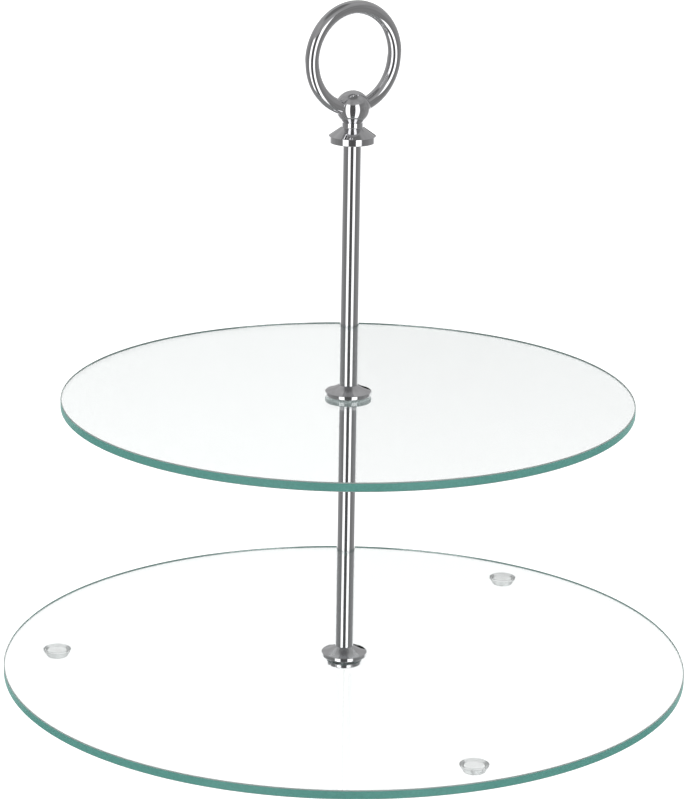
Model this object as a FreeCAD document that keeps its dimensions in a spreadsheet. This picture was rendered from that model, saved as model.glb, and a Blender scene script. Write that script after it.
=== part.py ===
"""Two-tier cake stand: two round glass plates on one screwed centre rod.

The origin is on the rod's axis, on the surface that the feet stand on. +Z is
up, and the ring handle lies in the XZ plane. Lengths are in millimetres.

From below: a flat-headed screw goes up through the lower plate and a flared
collar into the lower rod. The upper rod's stud goes down through the second
collar and the upper plate into the lower rod, and the handle's stud screws
into the top of the upper rod.
"""

import FreeCAD
import Part
import math
import os
import re
import Sketcher

SIZES = {
    # glass plates
    "lower_plate_diameter": 300,
    "upper_plate_diameter": 248,
    "glass_thickness": 4,
    "glass_arris": 0.4,
    "glass_hole_diameter": 7,
    # clear bumper feet, stuck on by hand, so each has its own place
    "foot_height": 3.5,
    "foot_top_diameter": 12.6,
    "foot_base_diameter": 9.4,
    "foot_edge_radius": 0.6,
    "foot_adhesive_thickness": 0.2,
    "foot_adhesive_diameter": 11.6,
    "foot_1_radius": 134.5,
    "foot_1_angle": 20.1,
    "foot_2_radius": 127.9,
    "foot_2_angle": 141.1,
    "foot_3_radius": 128.8,
    "foot_3_angle": 258.7,
    # centre rod: two equal tubes with threaded inserts at their ends
    "rod_diameter": 8,
    "rod_bore": 6.4,
    "rod_length": 109.5,
    "insert_length": 12,
    # thread, drawn as plain cylinders with a running gap
    "thread_diameter": 5,
    "thread_gap": 0.04,
    "thread_engagement": 8.8,
    "thread_point": 0.5,
    "screw_clearance_hole": 5.4,
    # flared collars that stand on each plate, and their gaskets
    "collar_diameter": 20,
    "collar_height": 5,
    "collar_rim_height": 2.2,
    "collar_flare_radius": 25,
    "collar_edge_radius": 0.5,
    "gasket_diameter": 18,
    "gasket_thickness": 0.3,
    # screw and clear bushes under the plates
    "screw_head_diameter": 15.6,
    "screw_head_thickness": 1.5,
    "screw_head_edge": 0.3,
    "screw_slot_width": 1.6,
    "screw_slot_depth": 0.8,
    "bush_sleeve_diameter": 6.8,
    "bush_sleeve_height": 3.6,
    "lower_bush_diameter": 15,
    "lower_bush_thickness": 0.5,
    "upper_bush_diameter": 20,
    "upper_bush_thickness": 1.5,
    # handle: a flared base and ball, with a ring through the ball
    "handle_base_diameter": 20,
    "handle_rim_height": 3,
    "handle_cone_height": 3.8,
    "handle_neck_diameter": 9.3,
    "handle_edge_radius": 0.4,
    "handle_recess_diameter": 8.2,
    "handle_recess_depth": 3.6,
    "handle_stud_depth": 6.1,
    "handle_washer_thickness": 0.4,
    "ball_diameter": 15,
    "ball_height": 14.7,
    "ring_diameter": 42.6,
    "ring_wire": 6,
}

FEET = (1, 2, 3)

# Levels above the floor, built up from the sizes.
LOWER_TOP = "foot_height + glass_thickness"
LOWER_ROD = LOWER_TOP + " + collar_height"
LOWER_ROD_TOP = LOWER_ROD + " + rod_length"
UPPER_GLASS = LOWER_ROD_TOP + " + upper_bush_thickness"
UPPER_TOP = UPPER_GLASS + " + glass_thickness"
UPPER_ROD = UPPER_TOP + " + collar_height"
UPPER_ROD_TOP = UPPER_ROD + " + rod_length"
HANDLE_CEILING = UPPER_ROD_TOP + " + handle_washer_thickness"
HANDLE_BASE = HANDLE_CEILING + " - handle_recess_depth"


def bound(expression):
    """The expression with each size's name pointing at its cell."""
    names = r"\b(" + "|".join(SIZES) + r")\b"
    return re.sub(names, r"Sizes.\1", expression)


def value(expression):
    """What the expression is worth with the sizes in the sheet."""
    return float(sheet.evalExpression(bound(expression)))


def size_sheet():
    """The spreadsheet that holds the sizes, one to a row."""
    cells = doc.addObject("Spreadsheet::Sheet", "Sizes")
    for row, (name, number) in enumerate(SIZES.items(), 1):
        cells.set(f"A{row}", name)
        cells.set(f"B{row}", str(number))
        cells.setAlias(f"B{row}", name)
    doc.recompute()
    return cells


# Sketches and features -----------------------------------------------------


def new_body(name, level):
    """An empty body, whose own zero is at the given level on the axis."""
    body = doc.addObject("PartDesign::Body", name)
    body.Label = name
    body.setExpression("Placement.Base.z", bound(level))
    return body


def new_sketch(body, plane):
    sketch = body.newObject("Sketcher::SketchObject", body.Name + "_sketch")
    planes = {p.Role: p for p in body.Origin.OriginFeatures}
    sketch.AttachmentSupport = [(planes[plane], "")]
    sketch.MapMode = "FlatFace"
    return sketch


def bind(sketch, constraint, expression):
    """Adds a constraint whose value follows the sizes."""
    index = sketch.addConstraint(constraint)
    sketch.setExpression(f"Constraints[{index}]", bound(expression))


def circles(sketch, diameters):
    """Concentric circles about the sketch's origin."""
    for diameter in diameters:
        circle = Part.Circle(FreeCAD.Vector(), FreeCAD.Vector(0, 0, 1),
                             value(diameter) / 2)
        index = sketch.addGeometry(circle)
        sketch.addConstraint(Sketcher.Constraint("Coincident", index, 3, -1, 1))
        bind(sketch, Sketcher.Constraint("Diameter", index, value(diameter)),
             diameter)


def arc(start, end, radius, hollow):
    """An arc between two points, bowed towards the axis if it is hollow."""
    chord = end - start
    outwards = FreeCAD.Vector(chord.y, -chord.x) / chord.Length
    reach = math.sqrt(radius ** 2 - (chord.Length / 2) ** 2)
    centre = (start + end) / 2 + outwards * (reach if hollow else -reach)
    ends = (end, start) if hollow else (start, end)
    first, last = (math.atan2(p.y - centre.y, p.x - centre.x) for p in ends)
    if last < first:
        last += 2 * math.pi
    circle = Part.Circle(centre, FreeCAD.Vector(0, 0, 1), radius)
    return Part.ArcOfCircle(circle, first, last)


def outline(sketch, points, arcs):
    """A closed outline, anticlockwise through points given as expressions.

    arcs gives the radius and the hollowness of each edge that is an arc, by
    the number of the point that it starts at.
    """
    places = [FreeCAD.Vector(value(x), value(y)) for x, y in points]
    ends = []
    for i, start in enumerate(places):
        end = places[(i + 1) % len(places)]
        radius, hollow = arcs.get(i, (None, False))
        if radius:
            sketch.addGeometry(arc(start, end, value(radius), hollow))
        else:
            sketch.addGeometry(Part.LineSegment(start, end))
        ends.append((2, 1) if hollow else (1, 2))
    for i, (across, up) in enumerate(points):
        before = (i - 1) % len(points)
        joint = Sketcher.Constraint("Coincident", before, ends[before][1],
                                    i, ends[i][0])
        sketch.addConstraint(joint)
        for kind, axis, place, name in (("DistanceX", -2, places[i].x, across),
                                        ("DistanceY", -1, places[i].y, up)):
            if place == 0:
                on_axis = Sketcher.Constraint("PointOnObject", i, ends[i][0], axis)
                sketch.addConstraint(on_axis)
            else:
                distance = Sketcher.Constraint(kind, -1, 1, i, ends[i][0], place)
                bind(sketch, distance, name)
    for i, (radius, _) in arcs.items():
        bind(sketch, Sketcher.Constraint("Radius", i, value(radius)), radius)


def turned(name, level, points, arcs=None):
    """A piece turned about the axis from its half outline."""
    body = new_body(name, level)
    sketch = new_sketch(body, "XZ_Plane")
    outline(sketch, points, arcs or {})
    turning = body.newObject("PartDesign::Revolution", name + "_turned")
    turning.Profile = sketch
    turning.ReferenceAxis = (sketch, ["V_Axis"])
    turning.Angle = 360
    doc.recompute()
    return body


def disc(name, level, diameter, thickness, hole=None):
    """A flat round piece, with a hole along its axis if one is given."""
    body = new_body(name, level)
    sketch = new_sketch(body, "XY_Plane")
    circles(sketch, [diameter, hole] if hole else [diameter])
    pad = body.newObject("PartDesign::Pad", name + "_pad")
    pad.Profile = sketch
    pad.setExpression("Length", bound(thickness))
    doc.recompute()
    return body


def round_edges(shape, diameter, level=None):
    """Names of the circular edges of that diameter, at one level if given."""
    found = []
    for number, edge in enumerate(shape.Edges, 1):
        if edge.Degenerated or not isinstance(edge.Curve, Part.Circle):
            continue
        same = abs(edge.Curve.Radius - value(diameter) / 2) < 1e-4
        if same and (level is None or abs(edge.Curve.Center.z - level) < 1e-4):
            found.append(f"Edge{number}")
    return found


def dress(body, kind, size, diameter, level=None):
    """Chamfers or fillets a body's round edges of that diameter."""
    base = body.Tip
    edges = round_edges(base.Shape, diameter, level)
    if not edges:
        raise ValueError(f"{body.Label} has no edge of diameter {diameter}")
    feature = body.newObject("PartDesign::" + kind, f"{body.Name}_{kind.lower()}")
    feature.Base = (base, edges)
    feature.setExpression("Size" if kind == "Chamfer" else "Radius", bound(size))
    doc.recompute()


# Pieces --------------------------------------------------------------------


def plate(name, level, diameter):
    """A glass disc with a centre hole and a narrow ground arris all round."""
    body = disc(name, level, diameter, "glass_thickness", "glass_hole_diameter")
    dress(body, "Chamfer", "glass_arris", diameter)


def foot(number):
    """A tapered clear bumper, and the adhesive disc that holds it."""
    base = disc(f"foot_{number}", "0", "foot_base_diameter",
                "foot_height - foot_adhesive_thickness")
    taper = "atan((foot_top_diameter - foot_base_diameter) / 2" \
            " / (foot_height - foot_adhesive_thickness))"
    base.Tip.setExpression("TaperAngle", bound(taper))
    doc.recompute()
    dress(base, "Fillet", "foot_edge_radius", "foot_base_diameter", 0)
    adhesive = disc(f"foot_adhesive_{number}",
                    "foot_height - foot_adhesive_thickness",
                    "foot_adhesive_diameter", "foot_adhesive_thickness")
    for piece in (base, adhesive):
        for axis, turn in (("x", "cos"), ("y", "sin")):
            place = f"foot_{number}_radius * {turn}(foot_{number}_angle * 1 deg)"
            piece.setExpression("Placement.Base." + axis, bound(place))


def screw():
    """The slotted, flat-headed screw under the lower plate."""
    head = "screw_head_thickness"
    top = "screw_head_thickness + lower_bush_thickness + glass_thickness" \
          " + collar_height + thread_engagement"
    edge = "screw_head_diameter / 2"
    shank = "thread_diameter / 2"
    body = turned("base_screw",
                  "foot_height - lower_bush_thickness - screw_head_thickness",
                  [("0", "0"), (edge, "0"), (edge, head), (shank, head),
                   (shank, f"{top} - thread_point"),
                   (f"{shank} - thread_point", top), ("0", top)])
    dress(body, "Fillet", "screw_head_edge", "screw_head_diameter", 0)
    whole = body.Shape.Volume
    sketch = new_sketch(body, "XY_Plane")
    width = "screw_slot_width / 2"
    length = "screw_head_diameter / 2 + screw_slot_width"
    corners = [(f"-({length})", f"-({width})"), (length, f"-({width})"),
               (length, width), (f"-({length})", width)]
    outline(sketch, corners, {})
    slot = body.newObject("PartDesign::Pocket", "base_screw_slot")
    slot.Profile = sketch
    slot.Reversed = True
    slot.setExpression("Length", bound("screw_slot_depth"))
    doc.recompute()
    if body.Shape.Volume >= whole:
        raise ValueError("the screw's slot cuts nothing")


def bush(name, level, diameter, thickness):
    """A clear washer with a sleeve that lines the glass's hole above it."""
    bore = "screw_clearance_hole / 2"
    sleeve = "bush_sleeve_diameter / 2"
    top = f"{thickness} + bush_sleeve_height"
    turned(name, level, [(bore, "0"), (f"{diameter} / 2", "0"),
                         (f"{diameter} / 2", thickness), (sleeve, thickness),
                         (sleeve, top), (bore, top)])


def collar(name, glass_top):
    """A flared collar: a low rim, and a hollow flare up to the rod."""
    bore = "screw_clearance_hole / 2"
    rim = "collar_diameter / 2"
    rim_top = "collar_rim_height - gasket_thickness"
    top = "collar_height - gasket_thickness"
    body = turned(name, f"{glass_top} + gasket_thickness",
                  [(bore, "0"), (rim, "0"), (rim, rim_top),
                   ("rod_diameter / 2", top), (bore, top)],
                  {2: ("collar_flare_radius", True)})
    dress(body, "Fillet", "collar_edge_radius", "collar_diameter", 0)


def insert(name, level, bore):
    """A threaded insert, pressed into an end of a rod."""
    disc(name, level, "rod_bore", "insert_length", bore)


def stud(name, level, length):
    """A headless threaded stud with chamfered ends."""
    body = disc(name, level, "thread_diameter", length)
    dress(body, "Chamfer", "thread_point", "thread_diameter")


def finial():
    """The handle's base and ball, bored below for the rod and its stud."""
    stud_hole = "thread_diameter / 2"
    recess = "handle_recess_diameter / 2"
    rim = "handle_base_diameter / 2"
    neck = "handle_neck_diameter / 2"
    ball = "ball_diameter / 2"
    stud_top = "handle_recess_depth + handle_stud_depth"
    cone_top = "handle_rim_height + handle_cone_height"
    ball_foot = f"ball_height - sqrt(pow({ball}; 2) - pow({neck}; 2))"
    body = turned("finial", HANDLE_BASE,
                  [("0", stud_top), (stud_hole, stud_top),
                   (stud_hole, "handle_recess_depth"),
                   (recess, "handle_recess_depth"), (recess, "0"), (rim, "0"),
                   (rim, "handle_rim_height"), (neck, cone_top),
                   (neck, ball_foot), ("0", f"ball_height + {ball}")],
                  {8: (ball, False)})
    dress(body, "Fillet", "handle_edge_radius", "handle_base_diameter", 0)
    whole = body.Shape.Volume
    hole = body.newObject("PartDesign::SubtractiveTorus", "finial_ring_hole")
    planes = {p.Role: p for p in body.Origin.OriginFeatures}
    hole.AttachmentSupport = [(planes["XZ_Plane"], "")]
    hole.MapMode = "FlatFace"
    hole.setExpression("AttachmentOffset.Base.y",
                       bound("ball_height + ring_diameter / 2"))
    hole.setExpression("Radius1", bound("ring_diameter / 2"))
    hole.setExpression("Radius2", bound("ring_wire / 2"))
    doc.recompute()
    if body.Shape.Volume >= whole:
        raise ValueError("the ring's hole cuts nothing")


def ring():
    """The ring of round wire, upright, with its lowest point in the ball."""
    torus = doc.addObject("Part::Torus", "ring_handle")
    torus.setExpression("Radius1", bound("ring_diameter / 2"))
    torus.setExpression("Radius2", bound("ring_wire / 2"))
    upright = FreeCAD.Rotation(FreeCAD.Vector(1, 0, 0), 90)
    torus.Placement = FreeCAD.Placement(FreeCAD.Vector(), upright)
    torus.setExpression("Placement.Base.z",
                        bound(f"{HANDLE_BASE} + ball_height + ring_diameter / 2"))


def build():
    tapped = "thread_diameter + 2 * thread_gap"
    plate("lower_plate", "foot_height", "lower_plate_diameter")
    plate("upper_plate", UPPER_GLASS, "upper_plate_diameter")
    for number in FEET:
        foot(number)

    screw()
    bush("lower_bush", "foot_height - lower_bush_thickness",
         "lower_bush_diameter", "lower_bush_thickness")
    bush("upper_bush", LOWER_ROD_TOP, "upper_bush_diameter",
         "upper_bush_thickness")
    for name, glass_top in (("lower", LOWER_TOP), ("upper", UPPER_TOP)):
        disc(f"{name}_gasket", glass_top, "gasket_diameter",
             "gasket_thickness", "screw_clearance_hole")
        collar(f"{name}_collar", glass_top)

    for name, foot_level, top_level, foot_bore in (
            ("lower_rod", LOWER_ROD, LOWER_ROD_TOP, tapped),
            ("upper_rod", UPPER_ROD, UPPER_ROD_TOP, "thread_diameter")):
        disc(name, foot_level, "rod_diameter", "rod_length", "rod_bore")
        insert(f"{name}_foot_insert", foot_level, foot_bore)
        insert(f"{name}_head_insert", f"{top_level} - insert_length", tapped)

    stud("joining_stud", f"{LOWER_ROD_TOP} - thread_engagement",
         f"{UPPER_ROD} - ({LOWER_ROD_TOP}) + thread_engagement + insert_length")
    stud("handle_stud", f"{UPPER_ROD_TOP} - thread_engagement",
         "thread_engagement + handle_washer_thickness + handle_stud_depth")
    disc("handle_washer", UPPER_ROD_TOP, "rod_diameter",
         "handle_washer_thickness", "screw_clearance_hole")
    finial()
    ring()


def pieces():
    """Every finished piece, each checked to be sound."""
    doc.recompute()
    for thing in doc.Objects:
        if {"Invalid", "Error"} & set(thing.State):
            raise ValueError(f"{thing.Label} is {thing.State}")
    kinds = ("PartDesign::Body", "Part::Torus")
    found = [thing for thing in doc.Objects if thing.TypeId in kinds]
    for piece in found:
        if piece.Shape.isNull() or not piece.Shape.isValid():
            raise ValueError(f"{piece.Label} has no sound shape")
        if len(piece.Shape.Solids) != 1:
            raise ValueError(f"{piece.Label} isn't one solid")
    return found


def export():
    os.makedirs("parts", exist_ok=True)
    for piece in pieces():
        piece.Shape.exportStep(os.path.join("parts", piece.Label + ".step"))
        print(f"{piece.Label}: {piece.Shape.Volume:.1f} mm3")


doc = FreeCAD.newDocument("CakeStand")
sheet = size_sheet()
build()
export()
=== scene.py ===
import math

import bmesh
import bpy
from mathutils import Matrix, Vector

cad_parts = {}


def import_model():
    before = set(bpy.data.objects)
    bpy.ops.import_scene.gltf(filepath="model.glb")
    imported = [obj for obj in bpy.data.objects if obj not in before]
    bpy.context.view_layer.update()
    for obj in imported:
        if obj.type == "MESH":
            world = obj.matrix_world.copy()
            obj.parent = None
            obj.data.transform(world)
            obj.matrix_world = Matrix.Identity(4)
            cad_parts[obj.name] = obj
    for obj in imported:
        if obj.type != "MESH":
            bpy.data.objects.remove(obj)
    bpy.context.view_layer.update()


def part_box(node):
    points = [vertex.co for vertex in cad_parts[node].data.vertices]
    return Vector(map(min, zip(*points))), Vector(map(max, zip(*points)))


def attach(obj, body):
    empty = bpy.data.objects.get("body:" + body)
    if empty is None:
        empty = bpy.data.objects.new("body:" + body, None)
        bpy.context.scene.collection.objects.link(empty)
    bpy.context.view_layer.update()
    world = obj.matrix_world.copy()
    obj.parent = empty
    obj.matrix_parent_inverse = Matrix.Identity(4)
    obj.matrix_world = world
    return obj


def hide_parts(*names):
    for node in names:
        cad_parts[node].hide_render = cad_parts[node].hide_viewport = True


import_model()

MM = 0.001

# Camera: where it stands in the row frame, and how it is turned.
CAMERA_DISTANCE = 1300 * MM  # from the stand's axis, along the floor
CAMERA_HEIGHT = 503.9 * MM
CAMERA_HEADING = math.radians(35.912)  # from +Y towards +X
CAMERA_PITCH = math.radians(16.225)  # downwards
CAMERA_ROLL = math.radians(0.9)
CAMERA_LENS = 141.0  # mm
SENSOR_WIDTH = 36  # mm
CAMERA_CLIP_END = 50  # metres
STAND_HEADING = math.radians(36.0)  # from the camera to the stand, the same way

# Light, as radiance. WHITE lights everything. The rest are the levels of the
# studio as shiny faces mirror it.
WHITE = 1.52
SOFTBOX = 1.8
DARK_MIDDLE = 0.1
DIM_NEAR = 0.2
DIM_FAR = 0.34
DIM_BACK = 0.42
DIM_TOP = 0.36
DIM_ZENITH = 0.18
DIM_BELOW = 0.3
BLACK_FLAG = 0.01
UNEVENNESS = (0.6, 1.4)  # times the dim levels
DIM_UP_TO = (0.5, 5 / 6)  # levels where the unevenness fades out
# Panels, by degrees round from the camera's side, the same to left and right.
FRONT_PANELS = [(0, DARK_MIDDLE), (17, DARK_MIDDLE), (20, SOFTBOX),
                (43, SOFTBOX), (49, DIM_NEAR), (122, DIM_FAR)]
LEVEL_PANELS = FRONT_PANELS + [(142, DIM_BACK), (180, DIM_BACK)]
LOW_PANELS = FRONT_PANELS + [(142, WHITE), (180, WHITE)]
TOP_PANELS = [(0, DIM_TOP), (90, DIM_TOP), (150, DIM_BACK)]
# Degrees up from level, or down from it, over which zones of the studio blend.
LOW_TO_LEVEL_UP = (-12, -7)
LEVEL_TO_TOP_UP = (25, 33)
TOP_TO_ZENITH_UP = (60, 70)
LOW_TO_BELOW_DOWN = (52, 58)
# The black flag's edges: degrees round, up and down.
FLAG_ROUND = (166, 168)
FLAG_UP = (-26, -22)
FLAG_DOWN = (-10, -7)
BOUNCES = 64

FLOOR_COLOUR = (0.9, 0.9, 0.9, 1)
FLOOR_HALF = 12  # metres

# Shapes that the CAD boxes don't give.
LATHE_STEPS = 192
PLATE_STEPS = 360
SMALL_STEPS = 96
SMOOTH_ANGLE = 22  # degrees; steeper edges stay sharp
THREAD_SMOOTH_ANGLE = 40
SLOT_SMOOTH_ANGLE = 30
ON_AXIS = 0.0001 * MM  # a radius below this counts as on the axis
SQUARE = ((-1, -1), (1, -1), (1, 1), (-1, 1))
SUPPORT_INSET = 0.03 * MM
LONG_STRETCH = 0.3 * MM
CLEARANCE_BORE = 2.7 * MM  # radius of the holes that the studs pass through
THREAD_RADIUS = 2.5 * MM
GLASS_ARRIS = 0.4 * MM
THREAD_PITCH = 0.8 * MM
THREAD_DEPTH = 0.46 * MM
THREAD_ROWS = 12  # to a turn
THREAD_STEPS = 64
FLANK_SLOPE, ROOT_FLAT = 1.25, 0.1
SOFT_GAP = 0.02 * MM  # air between clear pieces that touch

CHROME_COLOUR = (0.74, 0.74, 0.755, 1)
STEEL_COLOUR = (0.55, 0.55, 0.56, 1)
GLASS_IOR = 1.52
BUMPER_IOR = 1.49
VINYL_IOR = 1.5
FILM_IOR = 1.48
GLASS_TINT = (0.22, 0.55, 0.50)
GLASS_DENSITY = 12
BUMPER_TINT = (0.8, 0.82, 0.82)
BUMPER_DENSITY = 30
VINYL_TINT = (0.75, 0.85, 0.83)
VINYL_DENSITY = 120
FILM_TINT = (0.9, 0.9, 0.9)
FILM_DENSITY = 100


# Node helpers --------------------------------------------------------------


def node(tree, kind, **settings):
    """A node of the tree with its settings and its sockets' plain values."""
    made = tree.nodes.new(kind)
    for name, value in settings.items():
        if name in made.bl_rna.properties:
            setattr(made, name, value)
        else:
            made.inputs[name.replace("_", " ")].default_value = value
    return made


def maths(tree, operation, first, second=None):
    """The output of one Math node; its inputs are sockets or numbers."""
    made = node(tree, "ShaderNodeMath", operation=operation)
    for socket, value in zip(made.inputs, (first, second)):
        if isinstance(value, bpy.types.NodeSocket):
            tree.links.new(value, socket)
        elif value is not None:
            socket.default_value = value
    return made.outputs[0]


def new_material(name):
    material = bpy.data.materials.new(name)
    material.use_nodes = True
    tree = material.node_tree
    return material, tree, tree.nodes["Principled BSDF"]


def object_noise(tree, scale, detail=3.0, stretch=(1, 1, 1)):
    """Noise in the piece's own space, stretched along its axes."""
    place = node(tree, "ShaderNodeTexCoord")
    mapping = node(tree, "ShaderNodeMapping")
    mapping.inputs["Scale"].default_value = stretch
    tree.links.new(place.outputs["Object"], mapping.inputs["Vector"])
    noise = node(tree, "ShaderNodeTexNoise", Scale=scale, Detail=detail)
    tree.links.new(mapping.outputs["Vector"], noise.inputs["Vector"])
    return noise.outputs["Fac"]


def ranged(tree, value, low, high):
    """A 0 to 1 value mapped to a range."""
    made = node(tree, "ShaderNodeMapRange", To_Min=low, To_Max=high)
    tree.links.new(value, made.inputs["Value"])
    return made.outputs["Result"]


def step(tree, value, low, high):
    """A smooth 0 to 1 step of a value, from one level of it to another."""
    made = node(tree, "ShaderNodeMapRange", interpolation_type="SMOOTHSTEP",
                From_Min=low, From_Max=high)
    tree.links.new(value, made.inputs["Value"])
    return made.outputs["Result"]


def grey_ramp(tree, degrees, stops):
    """The grey at an angle up to 180, from stops of (angle, level)."""
    made = node(tree, "ShaderNodeValToRGB")
    elements = made.color_ramp.elements
    while len(elements) < len(stops):
        elements.new(0.5)
    for element, (angle, level) in zip(elements, stops):
        element.position = angle / 180
        element.color = (level, level, level, 1)
    tree.links.new(maths(tree, "DIVIDE", degrees, 180), made.inputs["Fac"])
    return made.outputs["Color"]


def colour_mix(tree, factor, first, second):
    """A mix from one colour to another; either may be a plain level."""
    made = node(tree, "ShaderNodeMix", data_type="RGBA")
    # Sockets 6 and 7 are the two colours, and output 2 is the mixed colour.
    tree.links.new(factor, made.inputs[0])
    for socket, value in ((made.inputs[6], first), (made.inputs[7], second)):
        if isinstance(value, bpy.types.NodeSocket):
            tree.links.new(value, socket)
        else:
            socket.default_value = (value, value, value, 1)
    return made.outputs[2]


# Materials -----------------------------------------------------------------


def chrome():
    """Bright plate, with faint handling marks in its gloss."""
    material, tree, shader = new_material("chrome")
    shader.inputs["Base Color"].default_value = CHROME_COLOUR
    shader.inputs["Metallic"].default_value = 1
    marks = object_noise(tree, 140, stretch=(1, 1, 0.3))
    tree.links.new(ranged(tree, marks, 0.03, 0.08), shader.inputs["Roughness"])
    return material


def steel():
    """Zinc-plated steel with a fine turned grain."""
    material, tree, shader = new_material("plain_steel")
    shader.inputs["Base Color"].default_value = STEEL_COLOUR
    shader.inputs["Metallic"].default_value = 1
    grain = object_noise(tree, 900, stretch=(0.2, 0.2, 3))
    tree.links.new(ranged(tree, grain, 0.22, 0.42), shader.inputs["Roughness"])
    bump = node(tree, "ShaderNodeBump", Strength=0.3, Distance=0.01 * MM)
    tree.links.new(grain, bump.inputs["Height"])
    tree.links.new(bump.outputs["Normal"], shader.inputs["Normal"])
    return material


def clear(name, ior, roughness, tint, density, shade=1.0, frost=0.0, ground=None):
    """A clear solid that darkens with depth, with a faintly uneven gloss.

    frost is how much of the surface scatters light as a ground face does, and
    ground is that face's colour.
    """
    material, tree, shader = new_material(name)
    shader.inputs["Base Color"].default_value = (shade, shade, shade, 1)
    shader.inputs["Transmission Weight"].default_value = 1
    shader.inputs["IOR"].default_value = ior
    smears = object_noise(tree, 60)
    tree.links.new(ranged(tree, smears, *roughness), shader.inputs["Roughness"])
    depth = node(tree, "ShaderNodeVolumeAbsorption", Density=density)
    depth.inputs["Color"].default_value = (*tint, 1)
    output = tree.nodes["Material Output"]
    tree.links.new(depth.outputs["Volume"], output.inputs["Volume"])
    if frost:
        scatter = node(tree, "ShaderNodeBsdfDiffuse")
        scatter.inputs["Color"].default_value = (*ground, 1)
        mix = node(tree, "ShaderNodeMixShader")
        speckle = object_noise(tree, 900)
        tree.links.new(ranged(tree, speckle, 0.8 * frost, 1.2 * frost), mix.inputs[0])
        tree.links.new(shader.outputs["BSDF"], mix.inputs[1])
        tree.links.new(scatter.outputs["BSDF"], mix.inputs[2])
        tree.links.new(mix.outputs["Shader"], output.inputs["Surface"])
    return material


# Mesh helpers --------------------------------------------------------------


def new_piece(name, vertices, faces, materials, smooth_angle=SMOOTH_ANGLE):
    mesh = bpy.data.meshes.new(name)
    mesh.from_pydata(vertices, [], faces)
    mesh.validate()
    piece = bpy.data.objects.new(name, mesh)
    bpy.context.scene.collection.objects.link(piece)
    for material in materials:
        mesh.materials.append(material)
    bm = bmesh.new()
    bm.from_mesh(mesh)
    bmesh.ops.recalc_face_normals(bm, faces=bm.faces)
    bm.to_mesh(mesh)
    bm.free()
    mesh.shade_smooth()
    mesh.set_sharp_from_angle(angle=math.radians(smooth_angle))
    return piece


def supported(outline):
    """The outline with a point close to both ends of each long stretch.

    It keeps the shading of flat and straight faces true up to their edges.
    """
    points = []
    for i, point in enumerate(outline):
        start = Vector(point)
        stretch = Vector(outline[(i + 1) % len(outline)]) - start
        points.append(start)
        if stretch.length > LONG_STRETCH:
            inset = stretch.normalized() * SUPPORT_INSET
            points += [start + inset, start + stretch - inset]
    return points


def lathe(name, outline, materials, centre=(0, 0), steps=LATHE_STEPS):
    """A closed outline of (radius, height) turned about an upright axis."""
    vertices, rings = [], []
    for radius, height in supported(outline):
        if radius < ON_AXIS:
            rings.append([len(vertices)])
            vertices.append((centre[0], centre[1], height))
            continue
        rings.append(list(range(len(vertices), len(vertices) + steps)))
        for k in range(steps):
            turn = 2 * math.pi * k / steps
            vertices.append((centre[0] + radius * math.cos(turn),
                             centre[1] + radius * math.sin(turn), height))
    faces = []
    for low, high in zip(rings, rings[1:] + rings[:1]):
        if len(low) == 1 and len(high) == 1:
            continue
        for k in range(steps):
            j = (k + 1) % steps
            corners = [low[k % len(low)], low[j % len(low)],
                       high[j % len(high)], high[k % len(high)]]
            faces.append(list(dict.fromkeys(corners)))
    return new_piece(name, vertices, faces, materials)


def curve(centre, radius, first, last, steps=6):
    """Points along an arc in an outline, from one angle to another."""
    angles = (math.radians(first + (last - first) * i / steps)
              for i in range(steps + 1))
    return [(centre[0] + radius * math.cos(a), centre[1] + radius * math.sin(a))
            for a in angles]


# Clear pieces --------------------------------------------------------------


def finish_piece(piece, body, node_name):
    """Hands a piece over.

    It is left out of shadows and of diffuse light, because the studio is lit
    too evenly to show any.
    """
    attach(piece, body)
    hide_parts(node_name)
    piece.visible_shadow = False
    piece.visible_diffuse = False


def glass_plate(name, body, materials):
    """A glass disc, with materials for its faces, its edge and its arrises."""
    low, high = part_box(name)
    hole, rim, arris, soft = 3.5 * MM, high.x, GLASS_ARRIS, 0.06 * MM
    outline = [(hole, low.z), (rim - arris - soft, low.z),
               (rim - arris + soft / 2, low.z + soft / 2),
               (rim - soft / 2, low.z + arris - soft / 2),
               (rim, low.z + arris + soft), (rim, high.z - arris - soft),
               (rim - soft / 2, high.z - arris + soft / 2),
               (rim - arris + soft / 2, high.z - soft / 2),
               (rim - arris - soft, high.z), (hole, high.z)]
    plate = lathe(name + "_glass", outline, materials, steps=PLATE_STEPS)
    for polygon in plate.data.polygons:
        spot = polygon.center
        if math.hypot(spot.x, spot.y) > rim - arris - soft:
            within = low.z + arris < spot.z < high.z - arris
            polygon.material_index = 1 if within else 2
    finish_piece(plate, body, name)


def foot(number, bumper, bumper_side, film):
    """A tapered clear bumper, and the adhesive film that it hangs from."""
    name = f"foot_{number}"
    low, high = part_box(name)
    x, y = (low.x + high.x) / 2, (low.y + high.y) / 2
    base, r = 4.7 * MM, 0.6 * MM
    edge, lip, band = 6.15 * MM, 0.12 * MM, 0.5 * MM
    outline = [(0, low.z), (base - r, low.z)]
    outline += curve((base - r, low.z + r), r, -90, -20)[1:]
    outline += [(edge, high.z - band)]
    outline += curve((edge - lip, high.z - SOFT_GAP - lip), lip, 0, 90, 4)
    outline += [(0, high.z - SOFT_GAP)]
    piece = lathe(name + "_bumper", outline, [bumper, bumper_side], (x, y),
                  SMALL_STEPS)
    for polygon in piece.data.polygons:
        on_the_side = abs(polygon.normal.z) < 0.9
        polygon.material_index = 1 if on_the_side else 0
    finish_piece(piece, "base", name)
    washer(f"foot_adhesive_{number}", "base", film, "adhesive", 0, (x, y))


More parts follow.
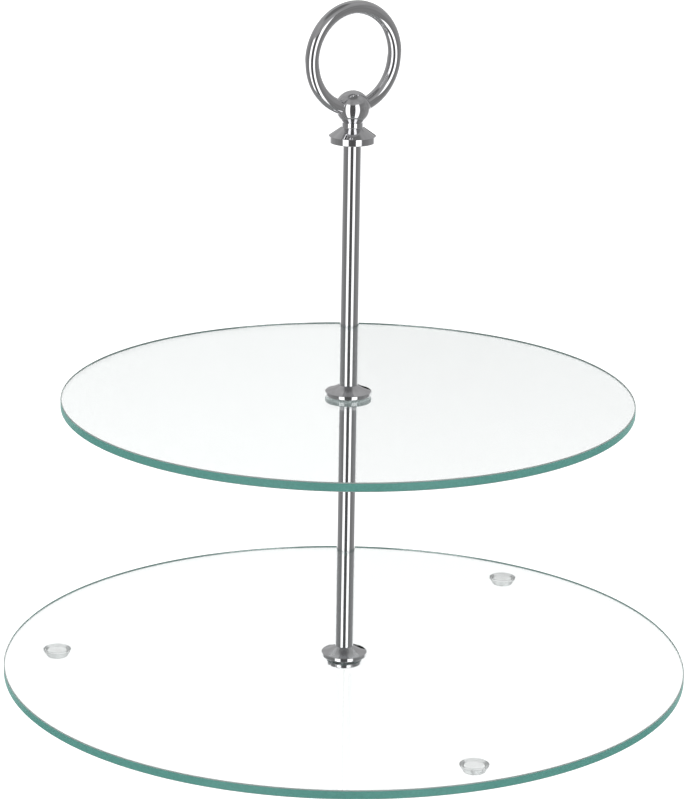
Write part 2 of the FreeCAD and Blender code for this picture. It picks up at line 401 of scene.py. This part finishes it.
def washer(name, body, material, slot, bore, centre=(0, 0)):
    """A thin round piece with softened edges, and a bore if it has one."""
    low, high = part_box(name)
    rim = (high.x - low.x) / 2
    gap = SOFT_GAP if slot != "plain_steel" else 0
    bottom, top = low.z + gap, high.z - gap
    r = (top - bottom) / 3
    outline = [(bore, bottom), (rim - r, bottom)]
    outline += curve((rim - r, bottom + r), r, -90, 0, 4)[1:]
    outline += curve((rim - r, top - r), r, 0, 90, 4)
    outline += [(bore, top)]
    piece = lathe(name + "_disc", outline, [material], centre, SMALL_STEPS)
    finish_piece(piece, body, name)


def bush(name, body, material, flange):
    """A clear flanged sleeve that lines a plate's hole from below."""
    low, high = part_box(name)
    bore, sleeve, rim, r = CLEARANCE_BORE, 3.4 * MM, high.x, 0.2 * MM
    bottom, shoulder = low.z + SOFT_GAP, low.z + flange - SOFT_GAP
    outline = [(bore, bottom), (rim - r, bottom)]
    outline += curve((rim - r, bottom + r), r, -90, 0, 4)[1:]
    outline += curve((rim - r, shoulder - r), r, 0, 90, 4)
    outline += [(sleeve, shoulder), (sleeve, high.z), (bore, high.z)]
    finish_piece(lathe(name + "_sleeve", outline, [material]), body, name)


# Metal ---------------------------------------------------------------------


def rod(name, body, material):
    """A tube with chamfered ends."""
    low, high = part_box(name)
    bore, outside, chamfer = 3.2 * MM, high.x, 0.15 * MM
    outline = [(bore, low.z), (outside - chamfer, low.z),
               (outside, low.z + chamfer), (outside, high.z - chamfer),
               (outside - chamfer, high.z), (bore, high.z)]
    finish_piece(lathe(name + "_tube", outline, [material]), body, name)


def collar(name, body, material):
    """A collar: a low rim with softened edges, and a slightly hollow cone."""
    low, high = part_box(name)
    bore, rim, top_radius = CLEARANCE_BORE, high.x, 4 * MM
    edge, lip = 0.5 * MM, 0.15 * MM
    rim_top = low.z + 1.9 * MM
    flare = 25 * MM
    start, end = Vector((rim, rim_top)), Vector((top_radius, high.z))
    chord = end - start
    outwards = Vector((chord.y, -chord.x)) / chord.length
    reach = math.sqrt(flare ** 2 - (chord.length / 2) ** 2)
    centre = (start + end) / 2 + outwards * reach
    first, last = (math.degrees(math.atan2(p.y - centre.y, p.x - centre.x))
                   for p in (start, end))
    outline = [(bore, low.z), (rim - edge, low.z)]
    outline += curve((rim - edge, low.z + edge), edge, -90, 0)[1:]
    outline += [(rim, rim_top - lip)]
    outline += curve(centre, flare, first, last, 24)[1:]
    outline += [(bore, high.z)]
    finish_piece(lathe(name + "_flare", outline, [material]), body, name)


def finial(body, material):
    """The handle's rim, cone, neck and ball in one turned piece."""
    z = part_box("finial")[0].z
    recess, rim, neck, ball = 4.1 * MM, 10 * MM, 4.65 * MM, 7.5 * MM
    edge, soft = 0.4 * MM, 0.1 * MM
    recess_top, rim_top = z + 3.6 * MM, z + 3 * MM
    cone_top, neck_start = z + 6.7 * MM, z + 6.9 * MM
    ball_centre = z + 14.7 * MM
    meet = math.degrees(math.acos(neck / ball))
    outline = [(0, recess_top), (recess, recess_top), (recess, z), (rim - edge, z)]
    outline += curve((rim - edge, z + edge), edge, -90, 0)[1:]
    outline += [(rim, rim_top - soft), (rim - soft, rim_top),
                (neck + soft, cone_top), (neck, neck_start)]
    outline += curve((0, ball_centre), ball, -meet, 90, 40)
    outline[-1] = (0, ball_centre + ball)
    piece = lathe("finial_turned", outline, [material])
    finish_piece(piece, body, "finial")


def thread_radius(turn, height, radius):
    """How far out a right-hand V thread reaches at a turn and a height."""
    phase = (height / THREAD_PITCH - turn / (2 * math.pi)) % 1
    flank = abs(2 * phase - 1)  # 1 at the crest, 0 at the root
    rise = min(max(FLANK_SLOPE * flank - ROOT_FLAT, 0), 1)
    return radius - THREAD_DEPTH * (1 - rise)


def threaded(name, start, end, plain, materials, head=()):
    """A threaded shank with chamfered ends, above an outline for its head.

    The shank is left plain up to the given height.
    """
    radius, chamfer, steps = THREAD_RADIUS, 0.5 * MM, THREAD_STEPS
    count = round((end - start) / (THREAD_PITCH / THREAD_ROWS))
    heights = [start + (end - start) * i / count for i in range(count + 1)]
    rows = [[(across, height)] * steps for across, height in head]
    for height in heights:
        limit = radius - max(0, chamfer - (end - height))
        if not head:
            limit -= max(0, chamfer - (height - start))
        row = []
        for k in range(steps):
            turn = 2 * math.pi * k / steps
            reach = radius if height < plain else thread_radius(turn, height, radius)
            row.append((min(reach, limit), height))
        rows.append(row)
    vertices = [(across * math.cos(2 * math.pi * k / steps),
                 across * math.sin(2 * math.pi * k / steps), height)
                for row in rows for k, (across, height) in enumerate(row)]
    faces = [(i * steps + k, i * steps + (k + 1) % steps,
              (i + 1) * steps + (k + 1) % steps, (i + 1) * steps + k)
             for i in range(len(rows) - 1) for k in range(steps)]
    faces.append(tuple(range(steps))[::-1])
    faces.append(tuple(range(len(vertices) - steps, len(vertices))))
    return new_piece(name, vertices, faces, materials, THREAD_SMOOTH_ANGLE)


def stud(name, body, material):
    """A stud that is threaded from end to end."""
    low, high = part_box(name)
    finish_piece(threaded(name + "_thread", low.z, high.z, low.z, [material]),
                 body, name)


def base_screw(material):
    """The slotted, flat-headed screw that holds the lower plate."""
    low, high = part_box("base_screw")
    rim, head, edge, soft = high.x, 1.5 * MM, 0.3 * MM, 0.1 * MM
    top, shank_start = low.z + head, low.z + head + 0.15 * MM
    thread_start = top + 4 * MM
    outline = [(rim - edge, low.z)]
    outline += curve((rim - edge, low.z + edge), edge, -90, 0)[1:]
    outline += [(rim, top - soft), (rim - soft, top),
                (THREAD_RADIUS + soft, top), (THREAD_RADIUS, top + soft)]
    piece = threaded("base_screw_turned", shank_start, high.z, thread_start,
                     [material], outline)
    cut_slot(piece, low.z, width=1.6 * MM, depth=0.8 * MM, reach=2 * rim)
    finish_piece(piece, "base", "base_screw")


def cut_slot(piece, bottom, width, depth, reach):
    """Cuts a straight slot along X, up into a piece, and keeps the result."""
    corners = [(i * reach, j * width / 2, bottom + h)
               for h in (-depth, depth) for i, j in SQUARE]
    sides = [(3, 2, 1, 0), (4, 5, 6, 7)]
    sides += [(k, (k + 1) % 4, (k + 1) % 4 + 4, k + 4) for k in range(4)]
    cutter = new_piece(piece.name + "_slot", corners, sides, [])
    cut = piece.modifiers.new("slot", "BOOLEAN")
    cut.object = cutter
    bpy.context.view_layer.update()
    found = bpy.context.evaluated_depsgraph_get()
    mesh = bpy.data.meshes.new_from_object(piece.evaluated_get(found))
    piece.modifiers.remove(cut)
    piece.data = mesh
    bpy.data.objects.remove(cutter)
    mesh.shade_smooth()
    mesh.set_sharp_from_angle(angle=math.radians(SLOT_SMOOTH_ANGLE))


def insert(name, body, material):
    """A tapped insert inside the end of a rod, drawn without its thread."""
    low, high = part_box(name)
    outside, bore, lead = high.x, THREAD_RADIUS, 0.3 * MM
    outline = [(bore + lead, low.z), (outside, low.z), (outside, high.z),
               (bore + lead, high.z), (bore, high.z - lead), (bore, low.z + lead)]
    finish_piece(lathe(name + "_turned", outline, [material], steps=SMALL_STEPS),
                 body, name)


def ring(body, material):
    """The ring of round wire, upright in the XZ plane."""
    low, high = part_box("ring_handle")
    wire = (high.y - low.y) / 2
    radius = (high.x - low.x) / 2 - wire
    centre = (low + high) / 2
    round_steps, wire_steps = 192, 48
    vertices, faces = [], []
    for i in range(round_steps):
        turn = 2 * math.pi * i / round_steps
        for k in range(wire_steps):
            tilt = 2 * math.pi * k / wire_steps
            out = radius + wire * math.cos(tilt)
            vertices.append((centre.x + out * math.cos(turn),
                             centre.y + wire * math.sin(tilt),
                             centre.z + out * math.sin(turn)))
            j, n = (i + 1) % round_steps, (k + 1) % wire_steps
            faces.append((i * wire_steps + k, i * wire_steps + n,
                          j * wire_steps + n, j * wire_steps + k))
    piece = new_piece("ring_wire", vertices, faces, [material])
    finish_piece(piece, body, "ring_handle")


# Stage ---------------------------------------------------------------------


def studio_pattern(tree):
    """The studio as it is mirrored: dim, with light panels at the front."""
    place = node(tree, "ShaderNodeTexCoord")
    turned = node(tree, "ShaderNodeVectorRotate", rotation_type="Z_AXIS",
                  Angle=STAND_HEADING)
    tree.links.new(place.outputs["Generated"], turned.inputs["Vector"])
    parts = node(tree, "ShaderNodeSeparateXYZ")
    tree.links.new(turned.outputs["Vector"], parts.inputs["Vector"])
    x, y, z = parts.outputs
    sideways, nearer = maths(tree, "ABSOLUTE", x), maths(tree, "MULTIPLY", y, -1)
    around = maths(tree, "DEGREES", maths(tree, "ARCTAN2", sideways, nearer))
    up = maths(tree, "DEGREES", maths(tree, "ARCSINE", z))
    down = maths(tree, "MULTIPLY", up, -1)
    level, low, top = (grey_ramp(tree, around, stops)
                       for stops in (LEVEL_PANELS, LOW_PANELS, TOP_PANELS))
    pattern = low
    for angle, blend, zone in ((up, LOW_TO_LEVEL_UP, level), (up, LEVEL_TO_TOP_UP, top),
                               (up, TOP_TO_ZENITH_UP, DIM_ZENITH),
                               (down, LOW_TO_BELOW_DOWN, DIM_BELOW)):
        pattern = colour_mix(tree, step(tree, angle, *blend), pattern, zone)

    noise = node(tree, "ShaderNodeTexNoise", Scale=3.2, Detail=5.0)
    tree.links.new(turned.outputs["Vector"], noise.inputs["Vector"])
    uneven = node(tree, "ShaderNodeVectorMath", operation="SCALE")
    tree.links.new(pattern, uneven.inputs[0])
    tree.links.new(ranged(tree, noise.outputs["Fac"], *UNEVENNESS),
                   uneven.inputs["Scale"])
    bright = step(tree, pattern, *DIM_UP_TO)
    pattern = colour_mix(tree, bright, uneven.outputs["Vector"], pattern)

    # A black flag behind the stand and just to its right.
    flag = maths(tree, "GREATER_THAN", x, 0)
    for angle, blend in ((around, FLAG_ROUND), (up, FLAG_UP), (down, FLAG_DOWN)):
        flag = maths(tree, "MULTIPLY", flag, step(tree, angle, *blend))
    return colour_mix(tree, flag, pattern, BLACK_FLAG)


def world():
    """An even white light, in which mirrored rays see the studio instead."""
    made = bpy.data.worlds.new("studio")
    bpy.context.scene.world = made
    made.use_nodes = True
    made.cycles.sampling_method = "NONE"
    tree = made.node_tree
    tree.nodes.clear()
    path = node(tree, "ShaderNodeLightPath")
    bounces = path.outputs["Glossy Depth"]
    mirrored = maths(tree, "GREATER_THAN", bounces, 0.5)
    once = maths(tree, "MULTIPLY", mirrored, maths(tree, "LESS_THAN", bounces, 1.5))
    glossy = maths(tree, "MULTIPLY", mirrored, path.outputs["Is Glossy Ray"])
    seen = colour_mix(tree, maths(tree, "MAXIMUM", once, glossy), WHITE,
                      studio_pattern(tree))
    light = node(tree, "ShaderNodeBackground")
    tree.links.new(seen, light.inputs["Color"])
    output = node(tree, "ShaderNodeOutputWorld")
    tree.links.new(light.outputs["Background"], output.inputs["Surface"])


def floor():
    """A wide pale floor. Mirrored rays pass it, and see the studio instead."""
    material, tree, shader = new_material("studio_floor")
    shader.inputs["Base Color"].default_value = FLOOR_COLOUR
    shader.inputs["Roughness"].default_value = 1
    shader.inputs["Specular IOR Level"].default_value = 0
    path = node(tree, "ShaderNodeLightPath")
    mirrored = maths(tree, "GREATER_THAN", path.outputs["Glossy Depth"], 0.5)
    through = node(tree, "ShaderNodeBsdfTransparent")
    mix = node(tree, "ShaderNodeMixShader")
    tree.links.new(mirrored, mix.inputs[0])
    tree.links.new(shader.outputs["BSDF"], mix.inputs[1])
    tree.links.new(through.outputs["BSDF"], mix.inputs[2])
    output = tree.nodes["Material Output"]
    tree.links.new(mix.outputs["Shader"], output.inputs["Surface"])
    corners = [(i * FLOOR_HALF, j * FLOOR_HALF, 0) for i, j in SQUARE]
    mesh = bpy.data.meshes.new("floor")
    mesh.from_pydata(corners, [], [(0, 1, 2, 3)])
    mesh.materials.append(material)
    made = bpy.data.objects.new("floor", mesh)
    bpy.context.scene.collection.objects.link(made)


def camera():
    lens = bpy.data.cameras.new("camera")
    lens.lens = CAMERA_LENS
    lens.sensor_width = SENSOR_WIDTH
    lens.clip_end = CAMERA_CLIP_END
    made = bpy.data.objects.new("camera", lens)
    bpy.context.scene.collection.objects.link(made)
    place = Vector((-CAMERA_DISTANCE * math.sin(STAND_HEADING),
                    -CAMERA_DISTANCE * math.cos(STAND_HEADING), CAMERA_HEIGHT))
    flat = math.cos(CAMERA_PITCH)
    forward = Vector((math.sin(CAMERA_HEADING) * flat,
                      math.cos(CAMERA_HEADING) * flat, -math.sin(CAMERA_PITCH)))
    right = Vector((math.cos(CAMERA_HEADING), -math.sin(CAMERA_HEADING), 0))
    up = right.cross(forward)
    turned_right = right * math.cos(CAMERA_ROLL) + up * math.sin(CAMERA_ROLL)
    turned_up = up * math.cos(CAMERA_ROLL) - right * math.sin(CAMERA_ROLL)
    turn = Matrix((turned_right, turned_up, -forward)).transposed().to_4x4()
    made.matrix_world = Matrix.Translation(place) @ turn
    bpy.context.scene.camera = made


def settings():
    scene = bpy.context.scene
    scene.view_settings.view_transform = "Standard"
    scene.view_settings.look = "None"
    scene.cycles.max_bounces = BOUNCES
    scene.cycles.glossy_bounces = BOUNCES
    scene.cycles.transmission_bounces = BOUNCES
    scene.cycles.transparent_max_bounces = BOUNCES
    scene.cycles.sample_clamp_indirect = 10


chrome_plate = chrome()
bare_steel = steel()
glass_face = clear("glass", GLASS_IOR, (0.0, 0.004), GLASS_TINT, GLASS_DENSITY)
glass_rim = clear("glass_ground_edge", GLASS_IOR, (0.1, 0.18), GLASS_TINT,
                  GLASS_DENSITY, frost=0.8, ground=(0.088, 0.24, 0.21))
glass_arris = clear("glass_arris", GLASS_IOR, (0.3, 0.45), GLASS_TINT,
                    GLASS_DENSITY, frost=0.5, ground=(0.34, 0.38, 0.37))
bumper = clear("clear_bumper", BUMPER_IOR, (0.01, 0.06), BUMPER_TINT,
               BUMPER_DENSITY)
bumper_side = clear("clear_bumper_side", BUMPER_IOR, (0.2, 0.35), BUMPER_TINT,
                    BUMPER_DENSITY, shade=0.86)
vinyl = clear("clear_vinyl", VINYL_IOR, (0.15, 0.3), VINYL_TINT, VINYL_DENSITY)
milky_vinyl = clear("milky_vinyl", VINYL_IOR, (0.15, 0.3), VINYL_TINT,
                    VINYL_DENSITY, frost=0.5, ground=(0.3, 0.345, 0.34))
film = clear("adhesive", FILM_IOR, (0.05, 0.12), FILM_TINT, FILM_DENSITY)

glass = [glass_face, glass_rim, glass_arris]
glass_plate("lower_plate", "base", glass)
glass_plate("upper_plate", "lower_stem", glass)
bush("lower_bush", "base", vinyl, flange=0.5 * MM)
bush("upper_bush", "lower_stem", milky_vinyl, flange=1.5 * MM)
base_screw(chrome_plate)
for stem in ("lower", "upper"):
    moving = stem + "_stem"
    washer(stem + "_gasket", stem + "_lift", vinyl, "clear_vinyl", CLEARANCE_BORE)
    rod(stem + "_rod", moving, chrome_plate)
    collar(stem + "_collar", moving, chrome_plate)
    for end in ("foot", "head"):
        insert(f"{stem}_rod_{end}_insert", moving, bare_steel)
stud("joining_stud", "upper_stem", bare_steel)
stud("handle_stud", "handle", bare_steel)
washer("handle_washer", "handle_lift", bare_steel, "plain_steel", CLEARANCE_BORE)
finial("handle", chrome_plate)
ring("handle", chrome_plate)
for number in (1, 2, 3):
    foot(number, bumper, bumper_side, film)

world()
floor()
camera()
settings()
